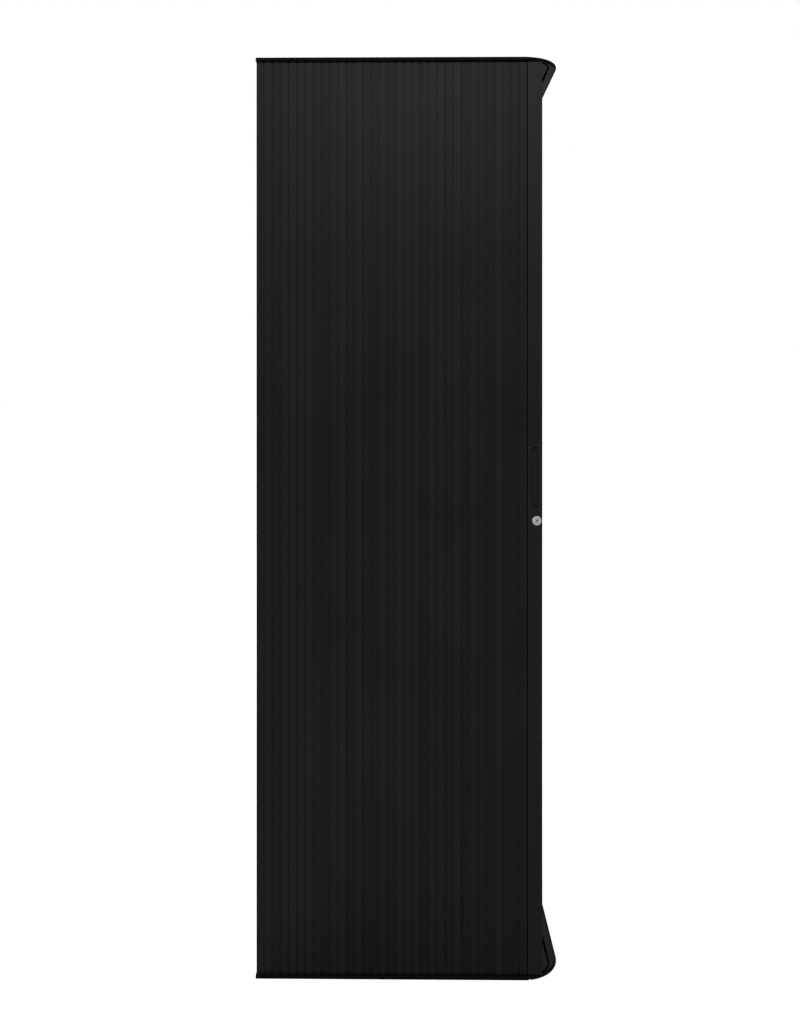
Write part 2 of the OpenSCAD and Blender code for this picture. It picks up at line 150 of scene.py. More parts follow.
class StageSettings(bpy.types.PropertyGroup):
    """The camera and the light"""

    distance: FloatProperty(
        name="Distance", description="From the tracks' front edge to the camera",
        default=2.032, unit="LENGTH")
    height: FloatProperty(
        name="Height", description="Height of the camera above the floor",
        default=1.268, unit="LENGTH")
    yaw: FloatProperty(
        name="Yaw", description="How far the camera turns to the left",
        default=math.radians(0.594), subtype="ANGLE")
    lens: FloatProperty(
        name="Lens", description="Focal length in millimetres", default=33.84)
    rise: FloatProperty(
        name="Rise", description="Vertical shift of the lens", default=-0.1340)
    surround: FloatProperty(
        name="Surround", description="Brightness of the surroundings as the object sees them",
        default=0.27)


# ---------- node helpers ----------

# Colour sockets of a Mix node
MIX_A = 6
MIX_B = 7
MIX_RESULT = 2

# Float sockets of a Random Value node
RANDOM_LOW = 2
RANDOM_HIGH = 3
RANDOM_RESULT = 1


def add(tree, kind, **values):
    """A new node with some of its properties set"""
    node = tree.nodes.new(kind)
    for key, value in values.items():
        setattr(node, key, value)
    return node


def wire(tree, *pairs):
    """Links each pair of an output and an input"""
    for source, target in pairs:
        tree.links.new(source, target)


def maths(tree, operation, first, second):
    """A Math node; each of its two values is a number or an output"""
    node = add(tree, "ShaderNodeMath", operation=operation)
    for socket, value in zip(node.inputs, (first, second)):
        if isinstance(value, (int, float)):
            socket.default_value = value
        else:
            tree.links.new(value, socket)
    return node.outputs[0]


def shader_group(name, inputs, outputs):
    """A new shader node group, with its input and output nodes"""
    tree = bpy.data.node_groups.new(name, "ShaderNodeTree")
    for label, kind, value in inputs:
        socket = tree.interface.new_socket(label, in_out="INPUT", socket_type=kind)
        if value is not None:
            socket.default_value = value
    for label, kind in outputs:
        tree.interface.new_socket(label, in_out="OUTPUT", socket_type=kind)
    return tree, tree.nodes.new("NodeGroupInput"), tree.nodes.new("NodeGroupOutput")


def place_group(tree, build, **values):
    """A node for a shared group, which is built the first time that it is asked for"""
    group = bpy.data.node_groups.get(build.__name__) or build(build.__name__)
    node = add(tree, "ShaderNodeGroup", node_tree=group)
    for label, value in values.items():
        node.inputs[label.replace("_", " ")].default_value = value
    return node


def fine_grain(name):
    """Fine noise for a surface, which can be drawn out along one axis"""
    tree, given, made = shader_group(name, [
        ("Vector", "NodeSocketVector", None),
        ("Stretch", "NodeSocketVector", (1.0, 1.0, 1.0)),
        ("Scale", "NodeSocketFloat", 900.0),
        ("Detail", "NodeSocketFloat", 3.0),
    ], [("Height", "NodeSocketFloat")])
    stretched = add(tree, "ShaderNodeVectorMath", operation="MULTIPLY")
    noise = add(tree, "ShaderNodeTexNoise")
    wire(tree,
         (given.outputs["Vector"], stretched.inputs[0]),
         (given.outputs["Stretch"], stretched.inputs[1]),
         (stretched.outputs[0], noise.inputs["Vector"]),
         (given.outputs["Scale"], noise.inputs["Scale"]),
         (given.outputs["Detail"], noise.inputs["Detail"]),
         (noise.outputs["Fac"], made.inputs["Height"]))
    return tree


def tone_drift(name):
    """A slow change over the surface, from 0 to 1"""
    tree, given, made = shader_group(name, [
        ("Vector", "NodeSocketVector", None),
        ("Scale", "NodeSocketFloat", 4.0),
    ], [("Tone", "NodeSocketFloat")])
    noise = add(tree, "ShaderNodeTexNoise")
    noise.inputs["Detail"].default_value = 2.0
    spread = add(tree, "ShaderNodeMapRange")
    spread.inputs["From Min"].default_value = 0.3
    spread.inputs["From Max"].default_value = 0.7
    wire(tree,
         (given.outputs["Vector"], noise.inputs["Vector"]),
         (given.outputs["Scale"], noise.inputs["Scale"]),
         (noise.outputs["Fac"], spread.inputs["Value"]),
         (spread.outputs["Result"], made.inputs["Tone"]))
    return tree


def edge_wear(name):
    """A mask that is 1 where a convex edge is rubbed bright"""
    tree, given, made = shader_group(name, [
        ("Vector", "NodeSocketVector", None),
        ("Convexity", "NodeSocketFloat", 0.5),
        ("Amount", "NodeSocketFloat", 0.5),
    ], [("Mask", "NodeSocketFloat")])
    least_convex, fully_convex = 0.51, 0.60
    edge = add(tree, "ShaderNodeMapRange")
    edge.inputs["From Min"].default_value = least_convex
    edge.inputs["From Max"].default_value = fully_convex
    noise = add(tree, "ShaderNodeTexNoise")
    noise.inputs["Scale"].default_value = 180.0
    noise.inputs["Detail"].default_value = 4.0
    broken = maths(tree, "MULTIPLY", edge.outputs["Result"], noise.outputs["Fac"])
    wire(tree,
         (given.outputs["Convexity"], edge.inputs["Value"]),
         (given.outputs["Vector"], noise.inputs["Vector"]),
         (maths(tree, "MULTIPLY", broken, given.outputs["Amount"]), made.inputs["Mask"]))
    return tree


def mix_colour(tree, factor, first, second):
    """Mixes two colours, each given as a colour or an output"""
    node = add(tree, "ShaderNodeMix", data_type="RGBA")
    tree.links.new(factor, node.inputs["Factor"])
    for socket, value in zip((node.inputs[MIX_A], node.inputs[MIX_B]), (first, second)):
        if isinstance(value, bpy.types.NodeSocket):
            tree.links.new(value, socket)
        else:
            socket.default_value = (*value, 1.0)
    return node.outputs[MIX_RESULT]


def grey(value):
    """A colour whose three channels are equal"""
    return (value, value, value)


def shade(colour, factor):
    """A colour made lighter or darker"""
    return tuple(channel * factor for channel in colour)


class Finish:
    """A Principled material whose colour, roughness and bump follow a fine grain"""

    def __init__(self, name, colour, roughness, grain, stretch=(1, 1, 1), spread=0.12,
                 rough_spread=0.08, bump=0.15, depth=0.05 * MM, drift=4.0, wear=0.25,
                 metallic=0.0, specular=0.25):
        self.material = bpy.data.materials.new(name)
        self.material.use_nodes = True
        self.tree = tree = self.material.node_tree
        self.shader = tree.nodes["Principled BSDF"]
        self.shader.inputs["Metallic"].default_value = metallic
        self.shader.inputs["Specular IOR Level"].default_value = specular
        self.where = add(tree, "ShaderNodeTexCoord").outputs["Object"]
        surface = add(tree, "ShaderNodeNewGeometry")
        fine = place_group(tree, fine_grain, Stretch=stretch, Scale=grain)
        slow = place_group(tree, tone_drift, Scale=drift)
        edge = place_group(tree, edge_wear, Amount=wear)
        for node in (fine, slow, edge):
            tree.links.new(self.where, node.inputs["Vector"])
        tree.links.new(surface.outputs["Pointiness"], edge.inputs["Convexity"])
        self.height = fine.outputs["Height"]
        tone = maths(tree, "ADD", maths(tree, "MULTIPLY", self.height, 0.5),
                     maths(tree, "MULTIPLY", slow.outputs["Tone"], 0.5))
        plain = mix_colour(tree, tone, shade(colour, 1 - spread), shade(colour, 1 + spread))
        rubbed = shade(colour, 2.2)
        self.colour = mix_colour(tree, edge.outputs["Mask"], plain, rubbed)
        rough = add(tree, "ShaderNodeMapRange")
        rough.inputs["To Min"].default_value = roughness - rough_spread
        rough.inputs["To Max"].default_value = roughness + rough_spread
        bumped = add(tree, "ShaderNodeBump")
        bumped.inputs["Strength"].default_value = bump
        bumped.inputs["Distance"].default_value = depth
        wire(tree,
             (self.colour, self.shader.inputs["Base Color"]),
             (tone, rough.inputs["Value"]),
             (rough.outputs["Result"], self.shader.inputs["Roughness"]),
             (self.height, bumped.inputs["Height"]),
             (bumped.outputs["Normal"], self.shader.inputs["Normal"]))
        self.bump = bumped

    def recolour(self, colour):
        """Feeds the base colour from another output"""
        self.tree.links.new(colour, self.shader.inputs["Base Color"])


# ---------- materials ----------

# Painted shade: near-black colour put on the tracks' lip, front and groove walls and in the recesses
# round the lock, where shade falls
PAINTED_SHADE_BLACK = (0.0042, 0.0042, 0.0045)


def slat_plastic():
    """Extruded plastic with a faint lengthwise grain; each slat has its own tone"""
    finish = Finish("slat_plastic", bpy.context.scene.shutter.slat_colour, 0.42, 260,
                    stretch=(1, 1, 0.006), spread=0.34, bump=0.20, wear=0.1)
    tree = finish.tree
    darkest, lightest = grey(0.72), grey(1.28)
    tone = add(tree, "ShaderNodeAttribute", attribute_name="slat_tone").outputs["Fac"]
    share = maths(tree, "ADD", 0.5, maths(tree, "MULTIPLY", tone, 0.5))
    tinted = add(tree, "ShaderNodeMix", data_type="RGBA", blend_type="MULTIPLY")
    tinted.inputs["Factor"].default_value = 1.0
    wire(tree,
         (finish.colour, tinted.inputs[MIX_A]),
         (mix_colour(tree, share, darkest, lightest), tinted.inputs[MIX_B]))
    finish.recolour(tinted.outputs[MIX_RESULT])
    return finish.material


def profile_coat():
    """Satin powder coat with a fine orange peel"""
    colour = bpy.context.scene.shutter.profile_colour
    return Finish("profile_coat", colour, 0.40, 1100, spread=0.10, bump=0.30,
                  depth=0.04 * MM, wear=0.15).material


def pull_plastic():
    """Moulded black plastic of the pull"""
    return Finish("pull_plastic", (0.0240, 0.0240, 0.0246), 0.38, 1800, spread=0.16,
                  bump=0.18, wear=0.3).material


def track_plastic(name, stretch):
    """Satin track plastic with its grain along the track, with a painted shade band that turns it
    black towards the outer edge
    """
    black_until, plain_from = 4.2 * MM, 5.8 * MM
    finish = Finish(name, bpy.context.scene.tracks.track_colour, 0.40, 700, stretch=stretch,
                    spread=0.18, bump=0.20, wear=0.15)
    tree = finish.tree
    place = add(tree, "ShaderNodeSeparateXYZ")
    tree.links.new(finish.where, place.inputs[0])
    past_x = maths(tree, "MAXIMUM", maths(tree, "SUBTRACT", place.outputs["X"], CORNER.x), 0.0)
    past_y = maths(tree, "MAXIMUM", maths(tree, "SUBTRACT", CORNER.y, place.outputs["Y"]), 0.0)
    squares = maths(tree, "ADD", maths(tree, "MULTIPLY", past_x, past_x),
                    maths(tree, "MULTIPLY", past_y, past_y))
    from_edge = maths(tree, "SUBTRACT", CORNER_R, maths(tree, "POWER", squares, 0.5))
    painted_shade_band = add(tree, "ShaderNodeMapRange")
    painted_shade_band.inputs["From Min"].default_value = black_until
    painted_shade_band.inputs["From Max"].default_value = plain_from
    tree.links.new(from_edge, painted_shade_band.inputs["Value"])
    # Painted shade: the colour blends to black near the outer edge, widening the dark outline of the
    # lip
    finish.recolour(mix_colour(tree, painted_shade_band.outputs["Result"], PAINTED_SHADE_BLACK, finish.colour))
    return finish.material


def track_black(name="track_black", specular=0.08):
    """Painted shade: near-black material standing in for the shade on the tracks' rounded lip and
    the inside of their grooves, and in the recesses round the lock
    """
    return Finish(name, PAINTED_SHADE_BLACK, 0.50, 900, spread=0.2, bump=0.15, wear=0.1,
                  specular=specular).material


def board_melamine():
    """Near-black melamine with a pearl texture"""
    return Finish("board_melamine", bpy.context.scene.tracks.board_colour, 0.50, 1400,
                  spread=0.2, bump=0.35, depth=0.06 * MM, wear=0.1, specular=0.3).material


def board_edging():
    """Smoother plastic edging along the boards' front edges"""
    return Finish("board_edging", (0.0165, 0.0165, 0.0172), 0.34, 700,
                  stretch=(1, 1, 0.03), spread=0.12, bump=0.15, wear=0.12,
                  specular=0.3).material


def back_lacquer():
    """Charcoal lacquer over fibreboard, with its fibres showing faintly"""
    return Finish("back_lacquer", (0.032, 0.032, 0.034), 0.60, 260, stretch=(1, 1, 0.35),
                  spread=0.22, bump=0.25, depth=0.08 * MM, wear=0.1, specular=0.3).material


def lock_nickel():
    """Satin nickel, turned on a lathe round the lock's axis"""
    finish = Finish("lock_nickel", (0.86, 0.86, 0.87), 0.36, 900, spread=0.05,
                    rough_spread=0.07, bump=0.05, wear=0.0, metallic=0.55, specular=0.5)
    tree = finish.tree
    centred = add(tree, "ShaderNodeMapping")
    centred.inputs["Location"].default_value = (-LOCK_X, 0, -LOCK_Z)
    rings = add(tree, "ShaderNodeTexWave", wave_type="RINGS", rings_direction="Y")
    rings.inputs["Scale"].default_value = 900.0
    rings.inputs["Distortion"].default_value = 1.2
    turned = maths(tree, "ADD", rings.outputs["Fac"], finish.height)
    wire(tree,
         (finish.where, centred.inputs["Vector"]),
         (centred.outputs["Vector"], rings.inputs["Vector"]),
         (turned, finish.bump.inputs["Height"]))
    return finish.material


def rail_chrome():
    """Chrome plate with a few smudges"""
    return Finish("rail_chrome", (0.72, 0.73, 0.75), 0.14, 40, spread=0.04,
                  rough_spread=0.06, bump=0.02, wear=0.0, metallic=1.0, specular=0.5).material


def zinc_steel():
    """Zinc-plated steel with its crystals"""
    finish = Finish("zinc_steel", (0.40, 0.41, 0.43), 0.36, 500, spread=0.12, bump=0.1,
                    wear=0.0, metallic=1.0, specular=0.5)
    tree = finish.tree
    crystals = add(tree, "ShaderNodeTexVoronoi")
    crystals.inputs["Scale"].default_value = 420.0
    grey = maths(tree, "MULTIPLY", crystals.outputs["Distance"], 0.6)
    wire(tree, (finish.where, crystals.inputs["Vector"]))
    finish.recolour(mix_colour(tree, grey, finish.colour, (0.52, 0.53, 0.56)))
    return finish.material


def screw_steel():
    """Blackened steel, rubbed bright along its edges"""
    return Finish("screw_steel", (0.085, 0.085, 0.09), 0.38, 1500, spread=0.25, bump=0.15,
                  wear=0.9, metallic=0.9, specular=0.5).material


def glide_plastic():
    """Slippery grey-black plastic of the glides"""
    return Finish("glide_plastic", (0.034, 0.034, 0.036), 0.48, 1600, spread=0.15,
                  bump=0.15, wear=0.2, specular=0.3).material


def material(build, *values):
    """The material that a function makes, made once"""
    name = values[0] if values else build.__name__
    return bpy.data.materials.get(name) or build(*values)


def track_material(node):
    """The material of one track piece, with its grain along the piece"""
    runs = {"front": (0.02, 1, 1), "side": (1, 0.02, 1), "corner": (1, 1, 1)}
    run = node.rsplit("_", 1)[1]
    return material(track_plastic, "track_plastic_" + run, runs[run])


# ---------- mesh helpers ----------

def new_object(name, bm, *materials, smooth=35):
    """An object for a finished mesh, with edges sharper than an angle kept sharp"""
    bmesh.ops.recalc_face_normals(bm, faces=bm.faces)
    return object_of(name, bm, *materials, smooth=smooth)


def object_of(name, bm, *materials, smooth=35):
    """The same, for a mesh whose faces already point the right way"""
    mesh = bpy.data.meshes.new(name)
    bm.to_mesh(mesh)
    bm.free()
    for each in materials:
        mesh.materials.append(each)
    mesh.shade_smooth()
    mesh.set_sharp_from_angle(angle=math.radians(smooth))
    made = bpy.data.objects.new(name, mesh)
    bpy.context.scene.collection.objects.link(made)
    return made


def settle(made):
    """Turns an object with modifiers into the plain mesh that they give"""
    shown = made.evaluated_get(bpy.context.evaluated_depsgraph_get())
    mesh = bpy.data.meshes.new_from_object(shown)
    mesh.name = made.name
    made.modifiers.clear()
    made.data = mesh


def hand_over(made, body, slot, *nodes):
    """Shades a finished piece evenly, lets it ride on its body and stand for CAD nodes"""
    even = made.modifiers.new("even_shading", "WEIGHTED_NORMAL")
    even.keep_sharp = True
    settle(made)
    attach(made, body)
    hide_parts(*nodes)


def skin(bm, rings, closed=False):
    """Joins rings of equally many points and caps both ends, or joins the last to the first"""
    loops = [[bm.verts.new(point) for point in ring] for ring in rings]
    pairs = list(zip(loops, loops[1:]))
    if closed:
        pairs.append((loops[-1], loops[0]))
    for first, second in pairs:
        for i in range(len(first)):
            j = (i + 1) % len(first)
            bm.faces.new((first[i], first[j], second[j], second[i]))
    if not closed:
        bm.faces.new(loops[0][::-1])
        bm.faces.new(loops[-1])


def circle_y(radius, y, steps=64):
    """A circle round the lock's axis"""
    turns = [2 * math.pi * i / steps for i in range(steps)]
    return [(LOCK_X + radius * math.cos(a), y, LOCK_Z + radius * math.sin(a)) for a in turns]


def rounded_rectangle(low, high, radii, steps=10):
    """Points round a rectangle; radii run from its low left corner anticlockwise"""
    corners = [(low[0], low[1]), (high[0], low[1]), (high[0], high[1]), (low[0], high[1])]
    points = []
    for turn, (corner, radius) in enumerate(zip(corners, radii)):
        centre_x = corner[0] + radius * (1 if turn in (0, 3) else -1)
        centre_z = corner[1] + radius * (1 if turn in (0, 1) else -1)
        for i in range(steps + 1):
            angle = math.pi + (turn + i / steps) * math.pi / 2
            points.append((centre_x + radius * math.cos(angle),
                           centre_z + radius * math.sin(angle)))
    return points


def block(bm, low, high):
    """A box from its lowest to its highest corner"""
    outline = [(low[0], low[1]), (high[0], low[1]), (high[0], high[1]), (low[0], high[1])]
    skin(bm, [[(x, y, z) for x, y in outline] for z in (low[2], high[2])])


def merged_copy(node):
    """A bmesh of a CAD node, its loose triangles joined into a closed surface"""
    bm = bmesh.new()
    bm.from_mesh(frame["nodes"][node].data)
    bmesh.ops.remove_doubles(bm, verts=bm.verts, dist=0.002 * MM)
    bmesh.ops.dissolve_limit(bm, angle_limit=math.radians(0.6), verts=bm.verts,
                             edges=bm.edges, use_dissolve_boundaries=False)
    return bm


def is_sharp(edge, angle=32):
    """True for an edge between two faces that meet at more than an angle"""
    return len(edge.link_faces) == 2 and edge.calc_face_angle(0) > math.radians(angle)


def soften(bm, width, segments, wanted):
    """Rounds the wanted sharp edges"""
    edges = [e for e in bm.edges if is_sharp(e) and wanted(e)]
    bmesh.ops.bevel(bm, geom=edges, offset=width, offset_type="OFFSET", segments=segments,
                    profile=0.5, affect="EDGES", clamp_overlap=True)


def long_edge(edge):
    """True for an edge that is long enough to be worth rounding"""
    return edge.calc_length() > 1.0 * MM


def softened_copy(node, width, *materials, wanted=long_edge):
    """A piece like a CAD node, with its edges rounded a little"""
    bm = merged_copy(node)
    soften(bm, width, 2, wanted)
    return object_of(node + "_visible", bm, *materials)


def body_of(node):
    """The name of the body that a CAD node belongs to"""
    return next(body for body, members in BODIES.items() if node in members)


# ---------- geometry node trees ----------

def geometry_tree(name, inputs):
    """A geometry node tree with named inputs after its geometry"""
    tree = bpy.data.node_groups.new(name, "GeometryNodeTree")
    tree.interface.new_socket("Geometry", in_out="INPUT", socket_type="NodeSocketGeometry")
    for label, kind in inputs:
        tree.interface.new_socket(label, in_out="INPUT", socket_type="NodeSocket" + kind)
    tree.interface.new_socket("Geometry", in_out="OUTPUT", socket_type="NodeSocketGeometry")
    return tree, tree.nodes.new("NodeGroupInput"), tree.nodes.new("NodeGroupOutput")


def run_tree(made, tree, **values):
    """Runs a tree on an object and keeps the plain mesh that comes out"""
    modifier = made.modifiers.new(tree.name, "NODES")
    modifier.node_group = tree
    for item in tree.interface.items_tree:
        key = item.name.replace(" ", "_")
        if item.in_out == "INPUT" and key in values:
            modifier[item.identifier] = values[key]
    settle(made)


def finish_tree(tree, parts, given, made):
    """Ends a tree: joins its parts, realizes the instances and sets the material"""
    joined = add(tree, "GeometryNodeJoinGeometry")
    for part in parts:
        tree.links.new(part, joined.inputs[0])
    real = add(tree, "GeometryNodeRealizeInstances")
    painted = add(tree, "GeometryNodeSetMaterial")
    wire(tree,
         (joined.outputs[0], real.inputs[0]),
         (real.outputs[0], painted.inputs["Geometry"]),
         (given.outputs["Material"], painted.inputs["Material"]),
         (painted.outputs[0], made.inputs[0]))


def row_of_points(tree, given, z=None):
    """Points along a row that runs to the left from First X"""
    start = add(tree, "ShaderNodeCombineXYZ")
    step = add(tree, "ShaderNodeCombineXYZ")
    line = add(tree, "GeometryNodeMeshLine", mode="OFFSET")
    wire(tree,
         (given.outputs["First X"], start.inputs["X"]),
         (maths(tree, "MULTIPLY", given.outputs["Pitch"], -1.0), step.inputs["X"]),
         (given.outputs["Count"], line.inputs["Count"]),
         (start.outputs[0], line.inputs["Start Location"]),
         (step.outputs[0], line.inputs["Offset"]))
    if z is not None:
        tree.links.new(z, start.inputs["Z"])
    return line.outputs[0]


def random_between(tree, low, high, number, seed):
    """A random number for each item, from its own number and a fixed seed"""
    node = add(tree, "FunctionNodeRandomValue", data_type="FLOAT")
    node.inputs[RANDOM_LOW].default_value = low
    if isinstance(high, bpy.types.NodeSocket):
        tree.links.new(high, node.inputs[RANDOM_HIGH])
    else:
        node.inputs[RANDOM_HIGH].default_value = high
    wire(tree, (number, node.inputs["ID"]), (seed, node.inputs["Seed"]))
    return node.outputs[RANDOM_RESULT]


def slat_row_tree():
    """A row of slats, each with its own tone, with a hinge web and a seal to its neighbour"""
    tree, given, made = geometry_tree("slat_row", [
        ("Count", "Int"), ("First Number", "Int"), ("Webs Skipped", "Int"), ("Seed", "Int"),
        ("First X", "Float"), ("Pitch", "Float"), ("Web Size", "Vector"), ("Web Place", "Vector"),
        ("Seal Size", "Vector"), ("Seal Place", "Vector"), ("Web Drift", "Float"),
        ("Material", "Material")])
    points = row_of_points(tree, given)
    index = add(tree, "GeometryNodeInputIndex").outputs[0]
    number = maths(tree, "ADD", index, given.outputs["First Number"])
    tone = random_between(tree, -1.0, 1.0, number, given.outputs["Seed"])
    slats = add(tree, "GeometryNodeInstanceOnPoints")
    toned = add(tree, "GeometryNodeStoreNamedAttribute", data_type="FLOAT", domain="INSTANCE")
    toned.inputs["Name"].default_value = "slat_tone"
    wire(tree,
         (points, slats.inputs["Points"]),
         (given.outputs["Geometry"], slats.inputs["Instance"]),
         (slats.outputs[0], toned.inputs["Geometry"]),
         (tone, toned.inputs["Value"]))
    last_skipped = maths(tree, "SUBTRACT", given.outputs["Webs Skipped"], 0.5)
    kept = maths(tree, "GREATER_THAN", index, last_skipped)
    back = add(tree, "ShaderNodeCombineXYZ")
    tree.links.new(random_between(tree, 0.0, given.outputs["Web Drift"], number,
                                  given.outputs["Seed"]), back.inputs["Y"])
    strips = []
    for label in ("Web", "Seal"):
        strip = add(tree, "GeometryNodeMeshCube")
        moved = add(tree, "GeometryNodeTransform")
        row = add(tree, "GeometryNodeInstanceOnPoints")
        wire(tree,
             (given.outputs[label + " Size"], strip.inputs["Size"]),
             (strip.outputs["Mesh"], moved.inputs["Geometry"]),
             (given.outputs[label + " Place"], moved.inputs["Translation"]),
             (points, row.inputs["Points"]),
             (moved.outputs[0], row.inputs["Instance"]),
             (kept, row.inputs["Selection"]))
        strips.append(row.outputs[0])
    drifted = add(tree, "GeometryNodeTranslateInstances")
    wire(tree,
         (strips[0], drifted.inputs["Instances"]),
         (back.outputs[0], drifted.inputs["Translation"]))
    parts = [toned.outputs[0], drifted.outputs[0], strips[1]]
    finish_tree(tree, parts, given, made)
    return tree


def glide_row_tree():
    """A row of glides under the slats and the same row, turned over, above them"""
    tree, given, made = geometry_tree("glide_row", [
        ("Count", "Int"), ("First X", "Float"), ("Pitch", "Float"), ("Low Z", "Float"),
        ("High Z", "Float"), ("Material", "Material")])
    rows = []
    for label, turn in (("Low Z", 0.0), ("High Z", math.pi)):
        row = add(tree, "GeometryNodeInstanceOnPoints")
        row.inputs["Rotation"].default_value = (turn, 0, 0)
        wire(tree,
             (row_of_points(tree, given, given.outputs[label]), row.inputs["Points"]),
             (given.outputs["Geometry"], row.inputs["Instance"]))
        rows.append(row.outputs[0])
    finish_tree(tree, rows, given, made)
    return tree


def screw_set_tree():
    """A screw on each point, along the point's own direction and spun at random"""
    tree, given, made = geometry_tree("screw_set", [
        ("Screw", "Object"), ("Seed", "Int"), ("Material", "Material")])
    screw = add(tree, "GeometryNodeObjectInfo")
    turn = add(tree, "GeometryNodeInputNamedAttribute", data_type="FLOAT_VECTOR")
    turn.inputs["Name"].default_value = "turn"
    aimed = add(tree, "FunctionNodeEulerToRotation")
    spun = add(tree, "FunctionNodeRotateRotation", rotation_space="LOCAL")
    spin = add(tree, "ShaderNodeCombineXYZ")
    spin_turn = add(tree, "FunctionNodeEulerToRotation")
    index = add(tree, "GeometryNodeInputIndex").outputs[0]
    row = add(tree, "GeometryNodeInstanceOnPoints")
    wire(tree,
         (given.outputs["Screw"], screw.inputs["Object"]),
         (turn.outputs["Attribute"], aimed.inputs[0]),
         (random_between(tree, 0.0, math.tau, index, given.outputs["Seed"]), spin.inputs["Z"]),
         (spin.outputs[0], spin_turn.inputs[0]),
         (aimed.outputs[0], spun.inputs["Rotation"]),
         (spin_turn.outputs[0], spun.inputs["Rotate By"]),
         (given.outputs["Geometry"], row.inputs["Points"]),
         (screw.outputs["Geometry"], row.inputs["Instance"]),
         (spun.outputs[0], row.inputs["Rotation"]))
    finish_tree(tree, [row.outputs[0]], given, made)
    return tree


# ---------- shutter ----------

def slat_rows():
    """(body, numbers of its slats) for each body that holds slats"""
    rows = []
    for body, members in BODIES.items():
        numbers = sorted(int(m[5:]) for m in members if m[:5] == "slat_" and m[5:].isdigit())
        if numbers:
            rows.append((body, numbers))
    return rows


def slat_x(number):
    """X of the middle of a slat in the closed shutter"""
    return (SLAT_LOW.x + SLAT_HIGH.x) / 2 - (number - 1) * PITCH


def slat_mesh():
    """One slat with its middle at X = 0: rounded front edges, narrower at the back"""
    settings = bpy.context.scene.shutter
    radius, steps = settings.edge_radius, 6
    half, back = SLAT_W / 2, settings.back_width / 2
    outline = []
    for side, start in ((-1, math.pi), (1, 1.5 * math.pi)):
        for i in range(steps + 1):
            angle = start + i / steps * math.pi / 2
            outline.append((side * (half - radius) + radius * math.cos(angle),
                            FACE_Y + radius + radius * math.sin(angle)))
    outline += [(back, FACE_Y + SLAT_T), (-back, FACE_Y + SLAT_T)]
    bm = bmesh.new()
    chamfer = 0.5 * MM
    inset = 1 - chamfer / half
    middle_y = FACE_Y + SLAT_T / 2
    rings = []
    for z, share in ((SLAT_LOW.z, inset), (SLAT_LOW.z + chamfer, 1),
                     (SLAT_HIGH.z - chamfer, 1), (SLAT_HIGH.z, inset)):
        rings.append([(x * share, middle_y + (y - middle_y) * share, z) for x, y in outline])
    skin(bm, rings)
    return bm


def strip(left, right, depth, thickness):
    """(size, middle) of a strip beside a slat, for the slat's middle at X = 0"""
    size = (right - left, thickness, SLAT_HIGH.z - SLAT_LOW.z - 2 * MM)
    middle = ((left + right) / 2, FACE_Y + depth + thickness / 2,
              (SLAT_LOW.z + SLAT_HIGH.z) / 2)
    return size, middle


def build_slats():
    """Replaces every CAD slat, one mesh for each body"""
    settings = bpy.context.scene.shutter
    tree = slat_row_tree()
    web_size, web_place = strip(6.3 * MM, 9.6 * MM, settings.web_depth, 1.0 * MM)
    seal_size, seal_place = strip(5.2 * MM, 10.5 * MM, settings.seal_depth, 0.6 * MM)
    for body, numbers in slat_rows():
        single = len(numbers) == 1
        name = f"slat_{numbers[0]:02d}_visible" if single else f"slats_of_{body}"
        made = new_object(name, slat_mesh(), material(slat_plastic))
        run_tree(made, tree, Count=len(numbers), First_Number=numbers[0],
                 Webs_Skipped=1 if numbers[0] == 1 else 0, Seed=settings.seed,
                 First_X=slat_x(numbers[0]), Pitch=PITCH,
                 Web_Size=web_size, Web_Place=web_place, Seal_Size=seal_size,
                 Seal_Place=seal_place, Web_Drift=settings.web_drift,
                 Material=material(slat_plastic))
        hand_over(made, body, "shutter_plastic", *[f"slat_{n:02d}" for n in numbers])


def glide_mesh():
    """One glide at the origin, standing on z = 0: a shoe with a narrower neck above it"""
    low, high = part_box("slat_glides")
    width, thickness, height = 11 * MM, high.y - low.y, SLAT_LOW.z - low.z
    neck_z, neck_width, neck_thickness = 0.55 * height, 0.6 * width, 0.72 * thickness
    edge_radius = 0.35 * MM
    middle_y = (low.y + high.y) / 2
    bm = bmesh.new()
    block(bm, (-width / 2, middle_y - thickness / 2, 0),
          (width / 2, middle_y + thickness / 2, neck_z))
    block(bm, (-neck_width / 2, middle_y - neck_thickness / 2, neck_z),
          (neck_width / 2, middle_y + neck_thickness / 2, height))
    soften(bm, edge_radius, 2, long_edge)
    return bm


def build_glides():
    """Replaces the glides at both ends of the sliding slats"""
    body = body_of("slat_glides")
    numbers = dict(slat_rows())[body]
    low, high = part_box("slat_glides")
    centre_y = (low.y + high.y) / 2
    bm = glide_mesh()
    bmesh.ops.translate(bm, vec=(0, -centre_y, 0), verts=bm.verts)
    made = new_object("slat_glides_visible", bm, material(glide_plastic))
    run_tree(made, glide_row_tree(), Count=len(numbers), Pitch=PITCH,
             First_X=slat_x(numbers[0]), Low_Z=low.z, High_Z=high.z,
             Material=material(glide_plastic))
    for vertex in made.data.vertices:
        vertex.co.y += centre_y
    hand_over(made, body, "glide_plastic", "slat_glides")


def cut(made, *cutters):
    """Cuts closed shapes out of an object"""
    for cutter in cutters:
        modifier = made.modifiers.new("cut", "BOOLEAN")
        modifier.object = cutter
        modifier.solver = "EXACT"
    settle(made)
    for cutter in cutters:
        bpy.data.objects.remove(cutter)


def darken_recess(made, radius, y):
    """Blackens, as painted shade, what lies behind a depth close round the lock's axis"""
    made.data.materials.append(material(track_black))
    for face in made.data.polygons:
        off_axis = math.hypot(face.center.x - LOCK_X, face.center.z - LOCK_Z)
        if off_axis < radius and face.center.y > y:
            face.material_index = 1


